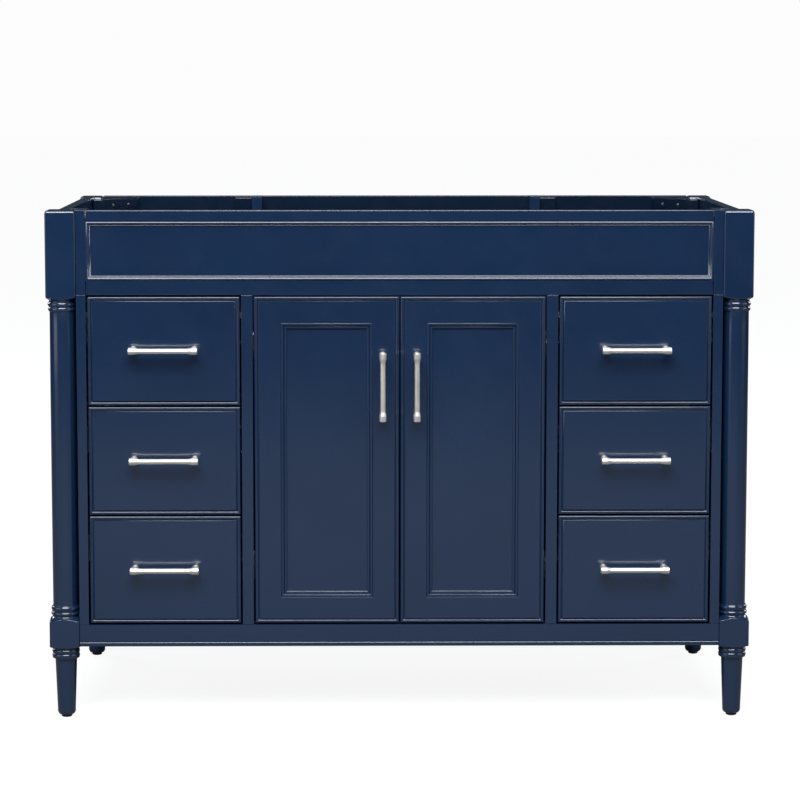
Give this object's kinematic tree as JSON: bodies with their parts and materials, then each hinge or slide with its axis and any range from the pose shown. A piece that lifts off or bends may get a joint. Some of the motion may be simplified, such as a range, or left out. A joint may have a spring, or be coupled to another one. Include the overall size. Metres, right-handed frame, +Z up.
{
  "type": "bathroom vanity cabinet",
  "caption": "Painted freestanding vanity cabinet with turned corner posts, inset drawers and panelled doors, bar pulls and an open top for a countertop with basin.",
  "frame": {"origin": "on the floor, under the middle of the whole box, pulls included", "axes": "+X to the right facing the front, front towards -Y, +Z up"},
  "size_m": [1.2192, 0.577, 0.889],
  "materials": {
    "paint": "satin navy lacquer",
    "birch": "clear lacquered birch",
    "nickel": "brushed satin nickel",
    "steel": "zinc plated",
    "glide": "dark nylon"
  },
  "bodies": {
    "case": {"apron_board": "paint", "bottom_rail": "paint", "bottom_deck": "paint", "back_panel": "paint", "front_post_left": "paint", "rear_post_left": "paint", "face_stile_left": "paint", "side_panel_left": "paint", "partition_left": "paint", "corner_brace_left": "paint", "front_post_right": "paint", "rear_post_right": "paint", "face_stile_right": "paint", "side_panel_right": "paint", "partition_right": "paint", "corner_brace_right": "paint", "glide_front_left": "glide", "glide_front_right": "glide", "glide_rear_left": "glide", "glide_rear_right": "glide", "drawer_slide_left_1_inner": "steel", "drawer_slide_left_1_outer": "steel", "drawer_slide_left_2_inner": "steel", "drawer_slide_left_2_outer": "steel", "drawer_slide_left_3_inner": "steel", "drawer_slide_left_3_outer": "steel", "door_hinge_left_lower": "steel", "door_hinge_left_upper": "steel", "drawer_slide_right_1_inner": "steel", "drawer_slide_right_1_outer": "steel", "drawer_slide_right_2_inner": "steel", "drawer_slide_right_2_outer": "steel", "drawer_slide_right_3_inner": "steel", "drawer_slide_right_3_outer": "steel", "door_hinge_right_lower": "steel", "door_hinge_right_upper": "steel"},
    "drawer_left_1": {"drawer_front_left_1": "paint", "drawer_box_left_1": "birch", "drawer_pull_left_1": "nickel"},
    "drawer_left_2": {"drawer_front_left_2": "paint", "drawer_box_left_2": "birch", "drawer_pull_left_2": "nickel"},
    "drawer_left_3": {"drawer_front_left_3": "paint", "drawer_box_left_3": "birch", "drawer_pull_left_3": "nickel"},
    "drawer_right_1": {"drawer_front_right_1": "paint", "drawer_box_right_1": "birch", "drawer_pull_right_1": "nickel"},
    "drawer_right_2": {"drawer_front_right_2": "paint", "drawer_box_right_2": "birch", "drawer_pull_right_2": "nickel"},
    "drawer_right_3": {"drawer_front_right_3": "paint", "drawer_box_right_3": "birch", "drawer_pull_right_3": "nickel"},
    "door_left": {"door_frame_left": "paint", "door_panel_left": "paint", "door_pull_left": "nickel"},
    "door_right": {"door_frame_right": "paint", "door_panel_right": "paint", "door_pull_right": "nickel"}
  },
  "joints": [
    {"name": "drawer_left_1_slide", "type": "slide", "parent": "case", "child": "drawer_left_1", "axis": [0, -1, 0], "range_m": [0, 0.35]},
    {"name": "drawer_left_2_slide", "type": "slide", "parent": "case", "child": "drawer_left_2", "axis": [0, -1, 0], "range_m": [0, 0.35]},
    {"name": "drawer_left_3_slide", "type": "slide", "parent": "case", "child": "drawer_left_3", "axis": [0, -1, 0], "range_m": [0, 0.35]},
    {"name": "drawer_right_1_slide", "type": "slide", "parent": "case", "child": "drawer_right_1", "axis": [0, -1, 0], "range_m": [0, 0.35]},
    {"name": "drawer_right_2_slide", "type": "slide", "parent": "case", "child": "drawer_right_2", "axis": [0, -1, 0], "range_m": [0, 0.35]},
    {"name": "drawer_right_3_slide", "type": "slide", "parent": "case", "child": "drawer_right_3", "axis": [0, -1, 0], "range_m": [0, 0.35]},
    {"name": "door_left_hinge", "type": "hinge", "parent": "case", "child": "door_left", "pos_m": [-0.231, -0.2425, 0.45495], "axis": [0, 0, -1], "range_deg": [0, 90]},
    {"name": "door_right_hinge", "type": "hinge", "parent": "case", "child": "door_right", "pos_m": [0.231, -0.2425, 0.45495], "axis": [0, 0, 1], "range_deg": [0, 90]}
  ]
}
